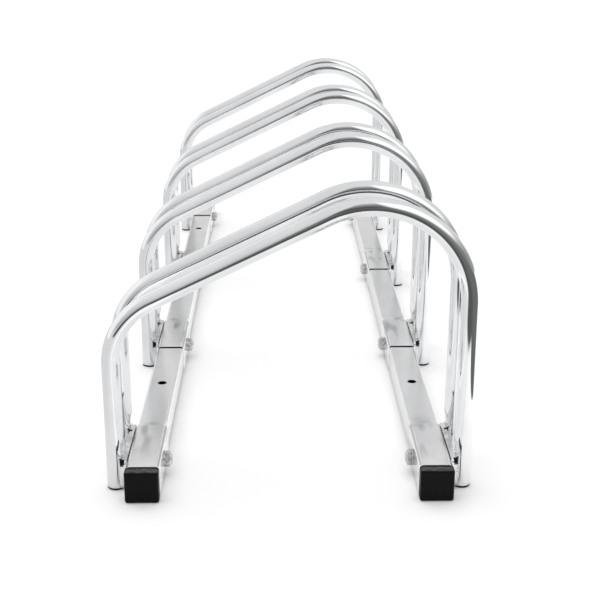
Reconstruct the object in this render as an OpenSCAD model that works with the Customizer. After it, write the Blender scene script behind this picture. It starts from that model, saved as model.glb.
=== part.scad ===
// Floor rack for four bicycles: two square tube rails lie on the floor, and
// four pairs of bent tube hoops stand across them to hold a wheel each.
// X runs across the rack, Y along the rails from the front, Z up from the floor.

/* [Rails] */
// Distance between the centre lines of the two rails
rail_spacing = 257; // [230:1:300]
// Distance from one wheel place to the next, and from one rail socket to the next
place_pitch = 290; // [250:1:340]
// Outside width and height of the square rail tube
rail_w = 27; // [24:0.5:30]
// Wall of the rail tube
rail_wall = 1.2; // [1:0.1:1.6]
// Outside corner radius of the rail tube
rail_corner_r = 2.4; // [2:0.1:3.5]
// Clearance on each side of a rail end inside the next socket
socket_gap = 0.3; // [0.2:0.05:0.5]
// Length of the widened socket at the front of each rail, up to its ramp
socket_len = 83; // [80:1:95]
// Length of the ramp between the socket and the plain tube
socket_ramp = 14; // [10:1:20]
// How far a rail end goes into the next socket
insert_len = 68; // [64:1:76]
// Length of the short last rail, from its socket mouth to its rear end
end_rail_len = 118; // [112:1:150]

/* [Hoops] */
// Outside diameter of the hoop tube
tube_d = 16; // [14:0.5:18]
// Wall of the hoop tube
tube_wall = 1.2; // [1:0.1:1.6]
// Distance between the two hoops of a pair, centre to centre
hoop_spacing = 62; // [58:1:66]
// Distance from a socket mouth back to the first hoop of its pair
hoop_inset = 20.5; // [19:0.5:24]
// Height at which the low leg's line meets the sloping top bar's line
low_corner_h = 157; // [140:1:175]
// Height at which the high leg's line meets the sloping top bar's line
high_corner_h = 308; // [285:1:330]
// Bend radius at the low shoulder, on the tube's centre line
low_bend_r = 64; // [40:1:80]
// Bend radius at the high shoulder, on the tube's centre line
high_bend_r = 85; // [75:1:95]
// How much fuller the tube is in its bends than along the sloping bar, on the radius
bend_swell = 0.03; // [0.02:0.01:0.1]
// Depth of the flat pressed into the rail side of each leg
flat_depth = 2.2; // [1.5:0.1:3]
// Height to which the pressed flat keeps its full depth
flat_h = 29; // [28:0.5:36]
// Length over which the pressed flat runs out into the round tube
flat_runout = 15; // [10:1:22]

/* [Plates] */
// Thickness of the plate welded to the two legs of a pair
plate_t = 5; // [4:0.5:6]
// Height of the plate
plate_h = 26; // [22:0.5:28]
// How far the plate reaches past the centre of each leg
plate_reach = 7.5; // [6:0.5:9]
// Corner radius of the plate
plate_corner_r = 4; // [2:0.5:6]
// Radius of the weld beads between plate and legs
weld_r = 2.2; // [1.6:0.1:2.6]

/* [Bolts] */
// Diameter of the bolts
bolt_d = 8; // [6:0.5:9]
// Distance from a socket mouth back to the bolt of its pair
bolt_inset = 45; // [42:0.5:54]
// Clearance round a bolt in its holes, on the radius
bolt_gap = 0.4; // [0.3:0.05:0.5]
// Clearance between a nut's thread and its bolt, on the radius
thread_gap = 0.05; // [0.02:0.01:0.1]
// Width of bolt heads and nuts across their flats
hex_w = 13; // [11:0.5:14]
// Height of the bolt head
head_h = 5.3; // [4:0.1:6]
// Height of the nut below its collar
nut_h = 4.4; // [4:0.1:8]
// Length of the nut's locking collar
nut_collar_h = 0.8; // [0.6:0.1:2.5]
// Outside diameter of the washers
washer_d = 15; // [14.5:0.5:18]
// Thickness of the washers
washer_t = 1.6; // [1:0.1:2]
// How far the bolt's end stands out of the nut
bolt_end = 0.5; // [0.4:0.1:3]

/* [Ground holes] */
// Diameter of the holes for screws into the ground
ground_hole_d = 9; // [6:0.5:12]
// Distance from the front rail's mouth back to its ground hole
front_hole_inset = 190; // [120:1:230]
// Distance from the third rail's socket mouth back to its ground hole
rear_hole_inset = 212; // [120:1:235]

/* [End caps] */
// Depth of an end cap's head
cap_head = 10; // [6:0.5:12]
// Radius of the rounded edges of the head's face
cap_edge_r = 2.2; // [1.5:0.1:3]
// Depth of the neck that shows between head and tube
cap_neck = 1.8; // [1:0.1:2.5]
// How much narrower than the tube's outside the neck is, on each side
cap_neck_step = 0.9; // [0.6:0.1:1.1]
// Length of the part of the cap inside the tube
cap_plug_len = 16; // [12:1:22]
// Thickness of the gripping fins on the plug
cap_fin_t = 1.2; // [0.8:0.1:1.6]
// How far the fins stand out of the plug's core
cap_fin_depth = 2; // [1.5:0.1:2.5]
// Number of fins on each plug
cap_fins = 4; // [3:1:5]
// Clearance on each side of the fins inside the tube
cap_gap = 0.15; // [0.1:0.05:0.3]
// Wall of the plug's hollow core
cap_wall = 2; // [1.5:0.1:3]

/* [Leg plugs] */
// Thickness of the plug's flange under the leg
foot_t = 2.2; // [1.5:0.1:3]
// Length of the plug inside the leg
foot_plug_len = 12; // [8:1:18]
// Clearance between the plug and the inside of the leg, on the radius
foot_gap = 0.15; // [0.1:0.05:0.3]
// Diameter of the hollow inside the plug
foot_bore_d = 8; // [6:0.5:9]

/* [Hidden] */

// Sides of the rack, and the places counted from the front
left = -1;
right = 1;
front = 0;
rear = 1;
places = [0, 1, 2, 3];

// Finish colours
zinc = [0.82, 0.83, 0.85];
bright = [0.90, 0.91, 0.93];
weld_grey = [0.70, 0.71, 0.73];
black = [0.08, 0.08, 0.09];

// Smoothness of round solids, and the overrun of cuts past a face
round_fn = 64;
blend_fn = 24;
over = tube_wall;

// Rail sections
rail_in_w = rail_w - 2 * rail_wall;
socket_in_w = rail_w + 2 * socket_gap;
socket_w = socket_in_w + 2 * rail_wall;
socket_corner_r = rail_corner_r + socket_gap + rail_wall;
rail_in_r = rail_corner_r - rail_wall;
rail_axis_h = socket_w / 2;
row_len = places[3] * place_pitch + end_rail_len;
mid_y = row_len / 2;

// Legs and the sloping bar of a hoop
tube_r = tube_d / 2;
tube_in_r = tube_r - tube_wall;
plate_x = rail_spacing / 2 + socket_w / 2;
leg_x = plate_x + plate_t + tube_r - flat_depth;
bar_angle = atan2(high_corner_h - low_corner_h, 2 * leg_x);
low_tangent = low_bend_r * tan((90 - bar_angle) / 2);
high_tangent = high_bend_r * tan((90 + bar_angle) / 2);
low_leg_top = low_corner_h - low_tangent;
high_leg_top = high_corner_h - high_tangent;
bar_len = 2 * leg_x / cos(bar_angle) - low_tangent - high_tangent;
bar_overlap = sqrt(2 * low_bend_r * bend_swell) / 3;
flat_r = (flat_runout * flat_runout + flat_depth * flat_depth) / (2 * flat_depth);

// Plates, bolts and holes
plate_front = hoop_inset - plate_reach;
plate_rear = hoop_inset + hoop_spacing + plate_reach;
plate_low = rail_axis_h - plate_h / 2;
flat_half_w = sqrt(tube_r * tube_r - (tube_r - flat_depth) * (tube_r - flat_depth));
bolt_hole_r = bolt_d / 2 + bolt_gap;
grip_len = plate_t + socket_w;

// Place of the socket mouth that a wheel place starts at
function mouth_y(place) = place * place_pitch - mid_y;

// Square with rounded corners, centred
module round_square(w, r) {
    square([w, w - 2 * r], center = true);
    square([w - 2 * r, w], center = true);
    for (sx = [left, right], sy = [left, right])
        translate([sx * (w / 2 - r), sy * (w / 2 - r)])
            circle(r = r, $fn = round_fn);
}

// Square bar with rounded corners that runs along Y from y0 to y1
module square_run(w, r, y0, y1) {
    translate([0, y0, rail_axis_h])
        rotate([-90, 0, 0])
            linear_extrude(height = y1 - y0)
                round_square(w, r);
}

// Run that narrows along Y from one rounded square to another
module ramp_run(w0, r0, w1, r1, y0, y1) {
    hull() {
        square_run(w0, r0, y0, y0 + socket_gap, $fn = blend_fn);
        square_run(w1, r1, y1 - socket_gap, y1, $fn = blend_fn);
    }
}

// Rail tube with a widened socket at its front, up to length len from its mouth
module rail_tube(len) {
    ramp_start = socket_len;
    ramp_end = socket_len + socket_ramp;
    difference() {
        union() {
            square_run(socket_w, socket_corner_r, 0, ramp_start);
            ramp_run(socket_w, socket_corner_r, rail_w, rail_corner_r, ramp_start, ramp_end);
            square_run(rail_w, rail_corner_r, ramp_end, len);
        }
        square_run(socket_in_w, socket_corner_r - rail_wall, -over, ramp_start);
        ramp_run(socket_in_w, socket_corner_r - rail_wall, rail_in_w, rail_in_r, ramp_start, ramp_end);
        square_run(rail_in_w, rail_in_r, ramp_end, len + over);
    }
}

// Hole across a rail for the bolt of a pair
module bolt_hole(y) {
    translate([0, y, rail_axis_h])
        rotate([0, 90, 0])
            cylinder(h = socket_w + 2 * over, r = bolt_hole_r, center = true, $fn = round_fn);
}

// Hole down through a rail for a ground screw
module ground_hole(y) {
    translate([0, y, rail_axis_h])
        cylinder(h = socket_w + 2 * over, d = ground_hole_d, center = true, $fn = round_fn);
}

// Rail of one wheel place; hole_y is its ground hole, or zero for none
module rail(side, place, hole_y) {
    is_last = place == places[3];
    len = is_last ? end_rail_len : place_pitch + insert_len;
    color(zinc)
        translate([side * rail_spacing / 2, mouth_y(place), 0])
            difference() {
                rail_tube(len);
                bolt_hole(bolt_inset);
                if (!is_last) bolt_hole(place_pitch + bolt_inset);
                if (hole_y > 0) ground_hole(hole_y);
            }
}

// Black plug with a rounded head and gripping fins; its head points to -Y
module cap_solid(outer_w, outer_r, inner_w, inner_r) {
    fin_w = inner_w - 2 * cap_gap;
    fin_r = inner_r - cap_gap / 2;
    core_w = fin_w - 2 * cap_fin_depth;
    fin_step = (cap_plug_len - cap_fin_t) / cap_fins;
    edge = outer_w / 2 - outer_r;
    hull() {
        square_run(outer_w, outer_r, -cap_neck - cap_fin_t, -cap_neck);
        for (sx = [left, right], sz = [left, right])
            translate([sx * edge, 0, rail_axis_h + sz * edge])
                rotate([90, 0, 0]) {
                    translate([0, 0, cap_neck + cap_head - cap_edge_r])
                        rotate_extrude($fn = blend_fn)
                            translate([outer_r - cap_edge_r, 0])
                                intersection() {
                                    circle(r = cap_edge_r, $fn = blend_fn);
                                    square(cap_edge_r);
                                }
                }
    }
    difference() {
        union() {
            square_run(outer_w - 2 * cap_neck_step, outer_r - cap_neck_step / 2, -cap_neck, 0);
            square_run(core_w, inner_r, 0, cap_plug_len);
            for (k = [1 : cap_fins])
                square_run(fin_w, fin_r, k * fin_step, k * fin_step + cap_fin_t);
        }
        square_run(core_w - 2 * cap_wall, inner_r, cap_wall, cap_plug_len + over);
    }
}

// Cap in the front socket of a side's first rail
module front_cap(side) {
    color(black)
        translate([side * rail_spacing / 2, mouth_y(0), 0])
            cap_solid(socket_w, socket_corner_r, socket_in_w, socket_corner_r - rail_wall);
}

// Cap in the plain rear end of a side's last rail
module rear_cap(side) {
    color(black)
        translate([side * rail_spacing / 2, row_len - mid_y, 0])
            mirror([0, 1, 0])
                cap_solid(rail_w, rail_corner_r, rail_in_w, rail_in_r);
}

// One leg at +X with the bend above it, as a solid of radius r from height z0 up
module leg_and_bend(z0, leg_top, bend_r, sweep, r) {
    translate([leg_x, 0, z0])
        cylinder(h = leg_top - z0, r = r, $fn = round_fn);
    translate([leg_x - bend_r, 0, leg_top])
        rotate([90, 0, 0])
            rotate_extrude(angle = sweep, $fn = round_fn)
                translate([bend_r, 0])
                    circle(r = r, $fn = round_fn);
}

// The whole bent run of a hoop as a solid of radius r, from height z0 up
module hoop_run(r, z0) {
    leg_and_bend(z0, high_leg_top, high_bend_r, 90 + bar_angle, r);
    mirror([1, 0, 0])
        leg_and_bend(z0, low_leg_top, low_bend_r, 90 - bar_angle, r);
    translate([low_tangent * cos(bar_angle) - leg_x, 0, low_corner_h + low_tangent * sin(bar_angle)])
        rotate([0, 90 - bar_angle, 0])
            translate([0, 0, -bar_overlap])
                cylinder(h = bar_len + 2 * bar_overlap, r = r - bend_swell, $fn = round_fn);
}

// Cutter that leaves the pressed flat on the rail side of a leg at +X;
// skin moves it inwards, so that the bore follows the flat at one wall's distance
module flat_cutter(skin) {
    cut_w = 2 * tube_d;
    top = flat_h + flat_runout + tube_wall;
    translate([leg_x - tube_r + flat_depth + skin, 0, 0])
        rotate([90, 0, 0])
            linear_extrude(height = cut_w, center = true) {
                translate([-cut_w, -over])
                    square([cut_w, flat_h + over]);
                intersection() {
                    translate([-flat_r - skin, flat_h])
                        circle(r = flat_r + skin, $fn = 2 * round_fn);
                    translate([-cut_w, flat_h - flat_runout / 2])
                        square([cut_w, top - flat_h + flat_runout]);
                }
            }
}

// Solid hoop of radius r with both pressed flats, used for the tube and its bore
module flatted_run(r, z0, skin) {
    difference() {
        hoop_run(r, z0);
        flat_cutter(skin);
        mirror([1, 0, 0]) flat_cutter(skin);
    }
}

// Hollow bent tube hoop
module hoop(place, which) {
    color(bright)
        translate([0, mouth_y(place) + hoop_inset + which * hoop_spacing, 0])
            difference() {
                flatted_run(tube_r, foot_t, 0);
                flatted_run(tube_in_r, foot_t - over, tube_wall);
            }
}

// Outline of a leg's end: a circle with its rail side cut flat; the rail is at -X
module leg_outline(r, skin) {
    difference() {
        circle(r = r, $fn = round_fn);
        translate([-2 * tube_d - tube_r + flat_depth + skin, -tube_d])
            square([2 * tube_d, 2 * tube_d]);
    }
}

// Plastic plug that closes the lower end of one leg
module leg_plug() {
    difference() {
        union() {
            linear_extrude(height = foot_t) leg_outline(tube_r, 0);
            linear_extrude(height = foot_t + foot_plug_len)
                leg_outline(tube_in_r - foot_gap, tube_wall + foot_gap);
        }
        translate([0, 0, foot_t])
            cylinder(h = foot_plug_len + over, d = foot_bore_d, $fn = round_fn);
    }
}

// The four leg plugs of one pair of hoops
module leg_plugs(place) {
    color(black)
        for (which = [front, rear], side = [left, right])
            translate([0, mouth_y(place) + hoop_inset + which * hoop_spacing, 0])
                mirror([side == left ? 1 : 0, 0, 0])
                    translate([leg_x, 0, 0])
                        leg_plug();
}

// Upright weld bead beside a leg, with round ends
module weld_bead(y, low, high) {
    translate([plate_x + plate_t, y, low])
        cylinder(h = high - low, r = weld_r, $fn = round_fn);
    for (z = [low, high])
        translate([plate_x + plate_t, y, z])
            sphere(r = weld_r, $fn = round_fn);
}

// Plate that joins the two legs of a pair on one side, with its weld beads
module plate_solid() {
    bead_y = flat_half_w + weld_r / 2;
    bead_low = plate_low + weld_r;
    bead_high = plate_low + plate_h - weld_r / 2;
    difference() {
        union() {
            translate([plate_x, (plate_front + plate_rear) / 2, rail_axis_h])
                rotate([90, 0, 90])
                    linear_extrude(height = plate_t)
                        plate_outline();
            for (which = [front, rear], s = [left, right])
                weld_bead(hoop_inset + which * hoop_spacing + s * bead_y, bead_low, bead_high);
        }
        translate([plate_x - over, bolt_inset, rail_axis_h])
            rotate([0, 90, 0])
                cylinder(h = plate_t + 2 * over, r = bolt_hole_r, $fn = round_fn);
        for (which = [front, rear])
            translate([leg_x, hoop_inset + which * hoop_spacing, 0])
                linear_extrude(height = rail_axis_h + plate_h)
                    leg_outline(tube_r, 0);
    }
}

// Outline of the plate with rounded corners
module plate_outline() {
    w = plate_rear - plate_front;
    square([w, plate_h - 2 * plate_corner_r], center = true);
    square([w - 2 * plate_corner_r, plate_h], center = true);
    for (sx = [left, right], sy = [left, right])
        translate([sx * (w / 2 - plate_corner_r), sy * (plate_h / 2 - plate_corner_r)])
            circle(r = plate_corner_r, $fn = round_fn);
}

// Plate of one pair on one side
module plate(side, place) {
    color(weld_grey)
        translate([0, mouth_y(place), 0])
            mirror([side == left ? 1 : 0, 0, 0])
                plate_solid();
}

// Repeats its children at the bolt of each place on both sides, with the
// outside of the rack along +X and the bolt's axis at the origin
module at_bolts() {
    for (place = places, side = [left, right])
        translate([0, mouth_y(place) + bolt_inset, rail_axis_h])
            mirror([side == left ? 1 : 0, 0, 0])
                children();
}

// Bolt from outside the plate through the rail
module bolt() {
    head_x = plate_x + plate_t;
    shank_len = grip_len + washer_t + nut_h + nut_collar_h + bolt_end;
    translate([head_x, 0, 0])
        rotate([0, 90, 0])
            cylinder(h = head_h, d = hex_w / cos(30), $fn = 6);
    translate([head_x - shank_len, 0, 0])
        rotate([0, 90, 0])
            cylinder(h = shank_len + head_h / 2, d = bolt_d, $fn = round_fn);
}

// Washer between the rail's inner wall and the nut
module washer() {
    translate([plate_x - socket_w - washer_t, 0, 0])
        rotate([0, 90, 0])
            difference() {
                cylinder(h = washer_t, d = washer_d, $fn = round_fn);
                translate([0, 0, -over])
                    cylinder(h = washer_t + 2 * over, r = bolt_hole_r, $fn = round_fn);
            }
}

// Lock nut on the rail's inner side
module nut() {
    nut_x = plate_x - socket_w - washer_t;
    translate([nut_x, 0, 0])
        rotate([0, -90, 0])
            difference() {
                union() {
                    rotate(30) cylinder(h = nut_h, d = hex_w / cos(30), $fn = 6);
                    cylinder(h = nut_h + nut_collar_h, d = (hex_w + bolt_d) / 2, $fn = round_fn);
                }
                translate([0, 0, -over])
                    cylinder(h = nut_h + nut_collar_h + 2 * over, r = bolt_d / 2 + thread_gap, $fn = round_fn);
            }
}

module bolts() { color(zinc) at_bolts() bolt(); }
module washers() { color(zinc) at_bolts() washer(); }
module nuts() { color(zinc) at_bolts() nut(); }

rail(left, 0, front_hole_inset);  // left_rail_front
rail(left, 1, 0);  // left_rail_second
rail(left, 2, rear_hole_inset);  // left_rail_third
rail(left, 3, 0);  // left_rail_end
rail(right, 0, front_hole_inset);  // right_rail_front
rail(right, 1, 0);  // right_rail_second
rail(right, 2, 0);  // right_rail_third
rail(right, 3, 0);  // right_rail_end
front_cap(left);  // front_cap_left
front_cap(right);  // front_cap_right
rear_cap(left);  // rear_cap_left
rear_cap(right);  // rear_cap_right
hoop(0, front);  // hoop_1_front
hoop(0, rear);  // hoop_1_rear
hoop(1, front);  // hoop_2_front
hoop(1, rear);  // hoop_2_rear
hoop(2, front);  // hoop_3_front
hoop(2, rear);  // hoop_3_rear
hoop(3, front);  // hoop_4_front
hoop(3, rear);  // hoop_4_rear
plate(left, 0);  // plate_1_left
plate(right, 0);  // plate_1_right
plate(left, 1);  // plate_2_left
plate(right, 1);  // plate_2_right
plate(left, 2);  // plate_3_left
plate(right, 2);  // plate_3_right
plate(left, 3);  // plate_4_left
plate(right, 3);  // plate_4_right
leg_plugs(0);  // leg_plugs_1
leg_plugs(1);  // leg_plugs_2
leg_plugs(2);  // leg_plugs_3
leg_plugs(3);  // leg_plugs_4
bolts();
washers();
nuts();
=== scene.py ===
"""The look of the floor bike rack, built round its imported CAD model.

Each operator makes one group of pieces, ties it to the rack's body and gives it
its finish. Sizes are in metres, in the model's own frame.
"""
import math

import bmesh
import bpy
from bpy.props import FloatProperty, FloatVectorProperty, IntProperty, PointerProperty
from mathutils import Matrix, Vector


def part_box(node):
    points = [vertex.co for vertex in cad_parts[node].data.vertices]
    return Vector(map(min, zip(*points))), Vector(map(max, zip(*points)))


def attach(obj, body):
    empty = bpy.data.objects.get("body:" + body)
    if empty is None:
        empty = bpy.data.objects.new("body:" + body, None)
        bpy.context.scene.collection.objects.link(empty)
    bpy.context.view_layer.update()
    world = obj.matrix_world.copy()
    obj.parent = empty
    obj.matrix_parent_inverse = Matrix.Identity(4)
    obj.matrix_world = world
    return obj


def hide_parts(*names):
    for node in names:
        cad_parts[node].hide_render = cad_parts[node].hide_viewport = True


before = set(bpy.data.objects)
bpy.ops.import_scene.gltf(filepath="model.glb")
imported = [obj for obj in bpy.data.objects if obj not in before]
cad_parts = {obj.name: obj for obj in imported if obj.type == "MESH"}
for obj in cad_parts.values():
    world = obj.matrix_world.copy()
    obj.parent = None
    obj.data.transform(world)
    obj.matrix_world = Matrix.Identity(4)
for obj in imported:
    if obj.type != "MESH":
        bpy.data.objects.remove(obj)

bl_info = {
    "name": "Floor bike rack",
    "version": (1, 0, 0),
    "blender": (4, 5, 0),
    "location": "View3D > Sidebar > Rack",
    "description": "Builds the bent tube hoops, rails, caps and finishes of a floor bike rack",
    "category": "Object",
}

BODY = "root"
PLACES = range(1, 5)
SIDES = ("left", "right")
HOOPS = [f"hoop_{place}_{end}" for place in PLACES for end in ("front", "rear")]
RAILS = [f"{side}_rail_{part}" for side in SIDES for part in ("front", "second", "third", "end")]
PLATES = [f"plate_{place}_{side}" for place in PLACES for side in SIDES]
CAPS = [f"{end}_cap_{side}" for end in ("front", "rear") for side in SIDES]
LEG_PLUGS = [f"leg_plugs_{place}" for place in PLACES]
# Each drilled rail, and how far behind its mouth the hole is
GROUND_HOLES = {"left_rail_front": 0.190, "right_rail_front": 0.190, "left_rail_third": 0.212}
# Where a mix node has its first value and its result, for numbers and for colours
MIX_SOCKETS = {"FLOAT": (2, 0), "RGBA": (6, 2)}


def middle(node):
    """Centre of a CAD node's box."""
    low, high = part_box(node)
    return (low + high) / 2


HOOP_LOW, HOOP_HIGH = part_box("hoop_1_front")
TUBE_RADIUS = (HOOP_HIGH.y - HOOP_LOW.y) / 2
RAIL_LOW, RAIL_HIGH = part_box("right_rail_front")
PLATE_LOW, PLATE_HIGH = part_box("plate_1_right")
HOOP_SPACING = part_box("hoop_1_rear")[0].y - HOOP_LOW.y
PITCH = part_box("hoop_2_front")[0].y - HOOP_LOW.y


def length(name, description, default):
    """A size in metres that the user can change."""
    return FloatProperty(name=name, description=description, default=default, unit="LENGTH")


def brightness(name, description, default):
    """A brightness that the user can change."""
    return FloatProperty(name=name, description=description, default=default, min=0)


class HoopSettings(bpy.types.PropertyGroup):
    """Sizes of the bent tube hoops."""

    tube_radius: length("Tube radius", "Outside radius of the hoop tube", TUBE_RADIUS)
    leg_reach: length(
        "Leg reach", "Distance of each leg's centre from the rack's middle plane",
        HOOP_HIGH.x - TUBE_RADIUS)
    foot: length("Foot height", "Height of the tube's lower ends", HOOP_LOW.z)
    low_corner: length("Low corner", "Height where the low leg's line meets the bar's line", 0.157)
    high_corner: length("High corner", "Height where the high leg's line meets the bar's line", 0.308)
    low_bend: length("Low bend", "Bend radius at the low shoulder", 0.064)
    high_bend: length("High bend", "Bend radius at the high shoulder", 0.085)
    flat_depth: length("Flat depth", "Depth of the flat pressed into the rail side of a leg", 0.0022)
    flat_height: length("Flat height", "Height to which the flat keeps its full depth", 0.029)
    flat_runout: length("Flat runout", "Length over which the flat fades into the round tube", 0.015)
    step: length("Step", "Length of one mesh row along the tube", 0.0025)
    sides: IntProperty(
        name="Sides", description="Number of mesh faces round the tube",
        default=64, min=24)


class RailSettings(bpy.types.PropertyGroup):
    """Sizes of the square tube rails and their end caps."""

    socket: length(
        "Socket width", "Outside width of the widened socket at a rail's front",
        RAIL_HIGH.z - RAIL_LOW.z)
    width: length("Rail width", "Outside width of the plain tube", 0.027)
    wall: length("Wall", "Wall of the tube", 0.0012)
    corner: length("Corner radius", "Outside corner radius of the plain tube", 0.0024)
    socket_length: length("Socket length", "Length of the socket up to its ramp", 0.083)
    ramp: length("Ramp", "Length of the ramp from socket to plain tube", 0.014)
    lip: length("Lip", "Size of the broken edge at a cut tube end", 0.0006)
    seat: length("Seat", "Clearance between a socket's mouth and the sides of the rail in it", 0.00003)
    seat_depth: length("Seat depth", "Depth of that close seat behind a socket's mouth", 0.002)
    mouth_gap: length("Mouth gap", "Gap over the rail in a socket's mouth", 0.0011)
    hole: length("Ground hole", "Diameter of the holes for screws into the ground", 0.009)
    cap_edge: length("Cap edge", "Radius of the rounded edge of a cap's face", 0.0022)
    cap_neck: length("Cap neck", "Depth of the neck between a cap's head and the tube", 0.0018)
    cap_step: length("Neck step", "How much narrower than the tube the neck is on each side", 0.0009)
    cap_plug: length("Cap plug", "Length of the part of a cap inside the tube", 0.016)


class PlateSettings(bpy.types.PropertyGroup):
    """Sizes of the plates, their welds and the fasteners through them."""

    thickness: length("Plate thickness", "Thickness of the plates", 0.005)
    corner: length("Plate corner", "Corner radius of the plates", 0.004)
    bevel: length("Plate edge", "Size of the rounded edges of the plates", 0.0005)
    weld: length("Weld radius", "Radius of the weld beads", 0.0022)
    ripples: IntProperty(
        name="Weld ripples", description="Number of ripples along a weld bead",
        default=11, min=1)
    bolt: length("Bolt diameter", "Diameter of the bolts", 0.008)
    bolt_play: length("Bolt play", "Clearance of the bolts in plates, rails and washers", 0.0004)
    nut_play: length("Nut play", "Clearance of a nut's bore round the bolt", 0.00005)
    hex_width: length("Hexagon", "Width of bolt heads and nuts across their flats", 0.013)
    head: length("Head height", "Height of the bolt heads", 0.0053)
    nut: length("Nut height", "Height of a nut below its collar", 0.0044)
    collar: length("Collar height", "Height of a nut's locking collar", 0.0008)
    bolt_end: length("Bolt end", "How far a bolt stands out of its nut", 0.0005)
    washer: length("Washer diameter", "Outside diameter of the washers", 0.015)
    washer_thickness: length("Washer thickness", "Thickness of the washers", 0.0016)
    thread: length("Thread pitch", "Distance from one thread ridge to the next", 0.00125)


class FinishSettings(bpy.types.PropertyGroup):
    """Colours and gloss of the finishes."""

    zinc: FloatVectorProperty(
        name="Zinc", description="Colour of the bright zinc plating",
        default=(0.80, 0.81, 0.82), subtype="COLOR", min=0, max=1)
    rail_zinc: FloatVectorProperty(
        name="Rail zinc", description="Colour of the satin zinc plating on the rails",
        default=(0.86, 0.86, 0.865), subtype="COLOR", min=0, max=1)
    hoop_gloss: FloatProperty(
        name="Hoop roughness", description="Mean roughness of the hoops",
        default=0.03, min=0, max=1, subtype="FACTOR")
    rail_gloss: FloatProperty(
        name="Rail roughness", description="Mean roughness of the rails",
        default=0.20, min=0, max=1, subtype="FACTOR")
    black: FloatVectorProperty(
        name="Black", description="Colour of the plastic caps and plugs",
        default=(0.0045, 0.0040, 0.0045), subtype="COLOR", min=0, max=1)


class StageSettings(bpy.types.PropertyGroup):
    """Floor, light and camera."""

    floor_reach: length("Floor reach", "Half the width of the whole floor", 30)
    table_front: length("Table front", "Where the bright part of the floor ends in front", -0.83)
    table_slant: FloatProperty(
        name="Table slant", description="How fast that edge moves forward on the far left",
        default=0.75)
    corner_side: length("Corner side", "Where the bright part of the floor steps back on the right", 0.34)
    corner_front: length("Corner front", "Where the bright part ends in front, right of that step", -0.43)
    table_left: brightness("Left level", "Brightness of the floor that metal sees on the far left", 0.82)
    table_right: brightness(
        "Right level", "Brightness of the floor that metal sees on the far right", 1.28)
    table_back: length("Table back", "Where the bright part of the floor ends behind", 1.25)
    table_dim: brightness(
        "Past the table", "Brightness that metal sees in front of the bright floor", 0.11)
    floor_glow: FloatProperty(
        name="Floor glow", description="Share of the floor's white that is there without light",
        default=0.04, min=0, max=1, subtype="FACTOR")
    camera_glow: FloatProperty(
        name="Camera glow", description="Further glow of the floor that only the camera sees",
        default=0.07, min=0, max=1, subtype="FACTOR")
    daylight: brightness("Room light", "Brightness of the room as it lights the rack", 0.52)
    dome: brightness("Dome", "Brightness of the studio that metal sees above the horizon", 0.93)
    softbox: brightness("Softbox", "Brightness of the soft box in front on the right", 1.35)
    sun: brightness("Lamp", "Strength of the soft overhead lamp", 1.9)
    camera_place: FloatVectorProperty(
        name="Camera place", description="Position of the camera",
        default=(-0.0116, -1.3947, 0.4898), unit="LENGTH")
    camera_pitch: FloatProperty(
        name="Camera pitch", description="How far the camera looks down",
        default=math.radians(18.828), unit="ROTATION")
    camera_yaw: FloatProperty(
        name="Camera yaw", description="How far the camera is turned to the right",
        default=math.radians(1.279), unit="ROTATION")
    camera_roll: FloatProperty(
        name="Camera roll", description="Roll of the camera about its axis",
        default=math.radians(-0.202), unit="ROTATION")
    lens: FloatProperty(
        name="Lens", description="Focal length in millimetres on a 36 mm sensor",
        default=68.83, min=1)


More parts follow.
